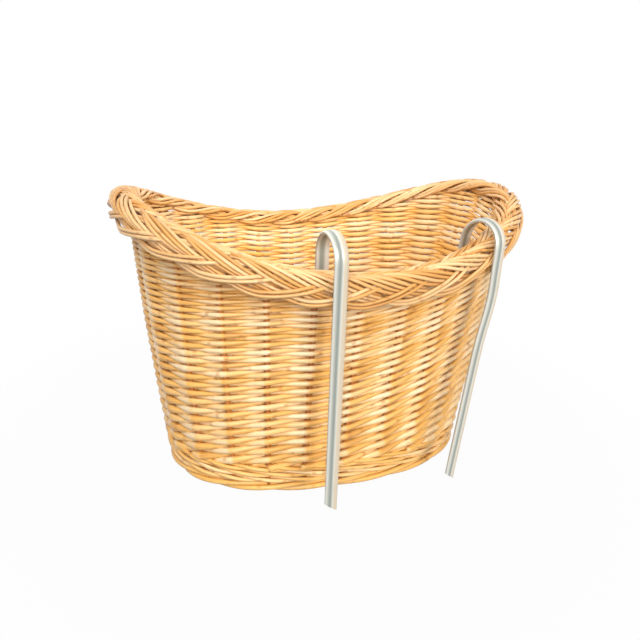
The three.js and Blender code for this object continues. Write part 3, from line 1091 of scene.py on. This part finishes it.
@dataclass
class StripHook:
    """One strip bent over the rim: a long leg outside, an arch and a short leg inside."""

    body: Body
    leg_top: Place
    turn: float
    tilt: float
    lean: float = math.radians(2.4)
    width: float = 12.0
    thickness: float = 3.6
    edge: float = 0.72
    crown_drop: float = 1.3
    crown_curve: float = 0.5
    least_edge: float = 0.2
    groove: float = 0.55
    groove_reach: float = 0.16
    inner_groove: float = 0.33
    inner_groove_reach: float = 0.4
    inner_points: int = 9
    outer_points: int = 23
    clear_span: float = 38.4
    height: float = 262.6
    short_leg: float = 78.0
    end_slant: float = 9.0
    slant_fade: int = 40
    bow: float = 0.0
    bow_height: float = 193.0
    bow_reach: float = 30.0
    leg_steps: int = 40
    arch_steps: int = 40
    sharp_angle: float = math.radians(40.0)

    def _section(self) -> np.ndarray:
        """Draws the strip's section, with a groove in both faces.

        Returns:
            Points by place across the strip and distance out from its inner face.
        """
        half = self.width / 2.0
        bevel = 0.25 * self.edge
        points = []
        for share in np.linspace(-1.0, 1.0, self.inner_points):
            dent = self.inner_groove * math.exp(-((share / self.inner_groove_reach) ** 2))
            points.append(((half - self.edge) * share, dent))
        points += [(half - bevel, bevel), (half, self.edge)]
        for share in np.linspace(1.0, -1.0, self.outer_points):
            crown = self.thickness - self.crown_drop * abs(share) ** 4 - self.crown_curve * share ** 2
            dent = self.groove * math.exp(-((share / self.groove_reach) ** 2))
            points.append((half * share, max(crown - dent, self.edge + self.least_edge)))
        points += [(-half, self.edge), (-half + bevel, bevel)]
        return np.array(points)

    def build(self, finish: bpy.types.Material) -> None:
        """Makes the hook.

        Args:
            finish: Finish of the strip.
        """
        outward = np.array([math.sin(self.turn), -math.cos(self.turn), 0.0])
        sideways = np.array([math.cos(self.turn), math.sin(self.turn), 0.0])
        leg = np.array(UPWARD) + outward * math.tan(self.lean) + sideways * math.tan(self.tilt)
        radius = self.clear_span / 2.0
        top = np.array(self.leg_top)
        arch_middle = top - outward * radius
        section = self._section()

        def ring(middle: np.ndarray, facing: np.ndarray, slant: float) -> np.ndarray:
            """Places the section at a point of the sweep."""
            across, out = section[:, 0:1], section[:, 1:2]
            return middle + sideways * across + facing * out + leg * slant * (0.5 - across / self.width)

        rings = []
        for share in np.linspace(0.0, 1.0, self.leg_steps)[:-1]:
            bend = self.bow * math.exp(-((top[2] * share - self.bow_height) / self.bow_reach) ** 2)
            middle = top - leg * top[2] * (1.0 - share) + sideways * bend
            rings.append(ring(middle, outward, self.end_slant * (1.0 - share) ** self.slant_fade))
        for bend in np.linspace(0.0, math.pi, self.arch_steps):
            facing = outward * math.cos(bend) + leg * math.sin(bend)
            rings.append(ring(arch_middle + facing * radius, facing, 0.0))
        drop = self.short_leg - (self.height - top[2])
        for share in (0.35, 0.7, 1.0):
            rings.append(ring(arch_middle - outward * radius - leg * drop * share, -outward, 0.0))
        mesh = RodMesh()
        mesh.loft(np.array(rings), False, 0.5)
        piece = mesh.build(f"{self.body.value}_strip", finish)
        piece.data.set_sharp_from_angle(angle=self.sharp_angle)
        place_piece(piece, self.body, Slot.STRIP, self.body.value)


@dataclass(frozen=True)
class Lamp:
    """One square soft lamp, in metres and watts."""

    name: str
    place: Place
    aim: Place
    size: float
    power: float
    mirrored: bool = False

    def build(self) -> None:
        """Adds the lamp, hidden from the camera."""
        data = bpy.data.lights.new(self.name, "AREA")
        data.size = self.size
        data.energy = self.power
        lamp = bpy.data.objects.new(self.name, data)
        lamp.location = self.place
        way = Vector(self.aim) - Vector(self.place)
        lamp.rotation_euler = way.to_track_quat("-Z", "Y").to_euler()
        lamp.visible_camera = False
        lamp.visible_glossy = self.mirrored
        bpy.context.scene.collection.objects.link(lamp)


@dataclass
class Studio:
    """White floor, soft lamps and the camera."""

    azimuth: float = math.radians(-17.4)
    elevation: float = math.radians(22.26)
    distance: float = 672.5
    target: Place = (2.0, 0.0, 134.85)
    roll: float = math.radians(2.56)
    lens: float = 36.56
    near_clip: float = 0.01
    world_level: float = 0.1
    floor_half: float = 6.0
    floor_white: float = 0.97
    floor_grey: float = 0.25
    shadow_reach: float = 0.2
    shadow_end: float = 0.5
    lamps: tuple[Lamp, ...] = (
        Lamp("key_lamp", (-1.3, -3.3, 1.8), (0.0, 0.0, 0.12), 1.1, 84.0, mirrored=True),
        Lamp("fill_lamp", (1.7, -3.05, 1.65), (0.0, 0.0, 0.1), 1.6, 98.0),
        Lamp("top_lamp", (-0.9, -0.9, 2.1), (0.05, 0.05, 0.2), 1.2, 34.0),
        Lamp("back_lamp", (0.9, 3.2, 1.5), (0.0, 0.0, 0.12), 2.0, 56.0),
        Lamp("inside_lamp", (-0.06, -0.05, 0.35), (0.09, 0.09, 0.16), 0.14, 0.26),
    )

    def build_camera(self) -> None:
        """Sets the camera at the photograph's viewing angle."""
        a, e, r = self.azimuth, self.elevation, self.roll
        back = Vector((math.sin(a) * math.cos(e), -math.cos(a) * math.cos(e), math.sin(e)))
        right = Vector((math.cos(a), math.sin(a), 0.0))
        upward = back.cross(right)
        rolled_right = right * math.cos(r) + upward * math.sin(r)
        rolled_up = upward * math.cos(r) - right * math.sin(r)
        data = bpy.data.cameras.new("camera")
        data.lens = self.lens
        data.clip_start = self.near_clip
        camera = bpy.data.objects.new("camera", data)
        place = (Vector(self.target) + back * self.distance) * MM
        basis = Matrix((rolled_right, rolled_up, back)).transposed()
        camera.matrix_world = Matrix.Translation(place) @ basis.to_4x4()
        bpy.context.scene.collection.objects.link(camera)
        bpy.context.scene.camera = camera

    def build_light(self) -> None:
        """Adds the lamps and the world."""
        for lamp in self.lamps:
            lamp.build()
        world = bpy.data.worlds.new("studio")
        world.use_nodes = True
        bpy.context.scene.world = world
        graph = Graph(world.node_tree)
        levels = {"Value": graph.seen_directly(), "To Min": self.world_level, "To Max": 1.0}
        level = graph.node("ShaderNodeMapRange", {}, levels)
        light = graph.node("ShaderNodeBackground", {}, {"Color": WHITE, "Strength": level})
        graph.end("ShaderNodeOutputWorld", light)

    def build_floor(self) -> None:
        """Lays the white floor, with a soft shadow near the basket and plain white further out."""
        half = self.floor_half
        mesh = bpy.data.meshes.new("floor")
        corners = [(-half, -half, 0.0), (half, -half, 0.0), (half, half, 0.0), (-half, half, 0.0)]
        mesh.from_pydata(corners, [], [(0, 1, 2, 3)])
        graph = Graph.of_material("white_floor")
        place = graph.node("ShaderNodeTexCoord", output="Object")
        away = graph.node("ShaderNodeVectorMath", {"operation": "LENGTH"}, {0: place}, output="Value")
        fade = away.step(self.shadow_reach, self.shadow_end)
        white = (fade * (1.0 - self.floor_white) + self.floor_white) * graph.seen_directly()
        grey = self.floor_grey
        matt = graph.node("ShaderNodeBsdfDiffuse", {}, {"Color": (grey, grey, grey, 1.0)})
        plain = graph.node("ShaderNodeEmission", {}, {"Color": WHITE, "Strength": 1.0})
        mixed = graph.node("ShaderNodeMixShader", {}, {0: white, 1: matt, 2: plain})
        graph.end("ShaderNodeOutputMaterial", mixed)
        mesh.materials.append(graph.material)
        floor = bpy.data.objects.new("floor", mesh)
        bpy.context.scene.collection.objects.link(floor)


WEAVE_FINISH = WillowFinish(
    "willow_weave_rods", deep=linear(160, 92, 20), honey=linear(226, 172, 90), pale=linear(244, 223, 186))
# Stake colour: the stakes' own deeper tone, darkened further as painted shade for the gaps between rods where
# they show.
STAKE_TONE_AND_PAINTED_SHADE = WillowFinish(
    "willow_stake_rods", deep=linear(116, 60, 20), honey=linear(168, 98, 40), pale=linear(200, 132, 64))
BORDER_FINISH = WillowFinish(
    "willow_border_rods", deep=linear(138, 76, 16), honey=linear(208, 152, 82), pale=linear(246, 220, 176))
STICK_FINISH = WillowFinish(
    "willow_base_sticks", deep=linear(150, 84, 30), honey=linear(206, 146, 70), pale=linear(230, 182, 108))
# The strip's groove colour is painted shade and its warm colour a painted reflection of the willow.
STRIP_FINISH = StripFinish(
    "satin_aluminium_strip", pale=linear(222, 220, 210), dull=linear(186, 187, 178),
    groove=linear(140, 148, 140), painted_willow_reflection=linear(224, 206, 178))
HOOKS = (
    StripHook(Body.HOOK_LEFT, (-27.42, -141.8, 240.0), turn=math.radians(4.7), tilt=math.radians(-1.65)),
    StripHook(Body.HOOK_RIGHT, (123.9, -118.11, 240.0), turn=math.radians(18.0), tilt=math.radians(3.2),
              bow=4.0),
)


def main() -> None:
    """Builds the basket around the frame, then the studio."""
    logging.basicConfig(level=logging.INFO, format="%(message)s")
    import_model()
    form = BasketForm()
    weave = WEAVE_FINISH.make()
    SideWeave(form).build(weave)
    wales = Wales(form)
    wales.build_upsett(weave)
    wales.build_foot(weave)
    Stakes(form).build(STAKE_TONE_AND_PAINTED_SHADE.make())
    PlaitedBorder(form).build(BORDER_FINISH.make())
    base = Base()
    base.build_weave(weave)
    base.build_sticks(STICK_FINISH.make())
    strip = STRIP_FINISH.make()
    for hook in HOOKS:
        hook.build(strip)
    studio = Studio()
    studio.build_camera()
    studio.build_light()
    studio.build_floor()
    bpy.context.scene.view_settings.view_transform = "Standard"


if __name__ == "__main__":
    main()
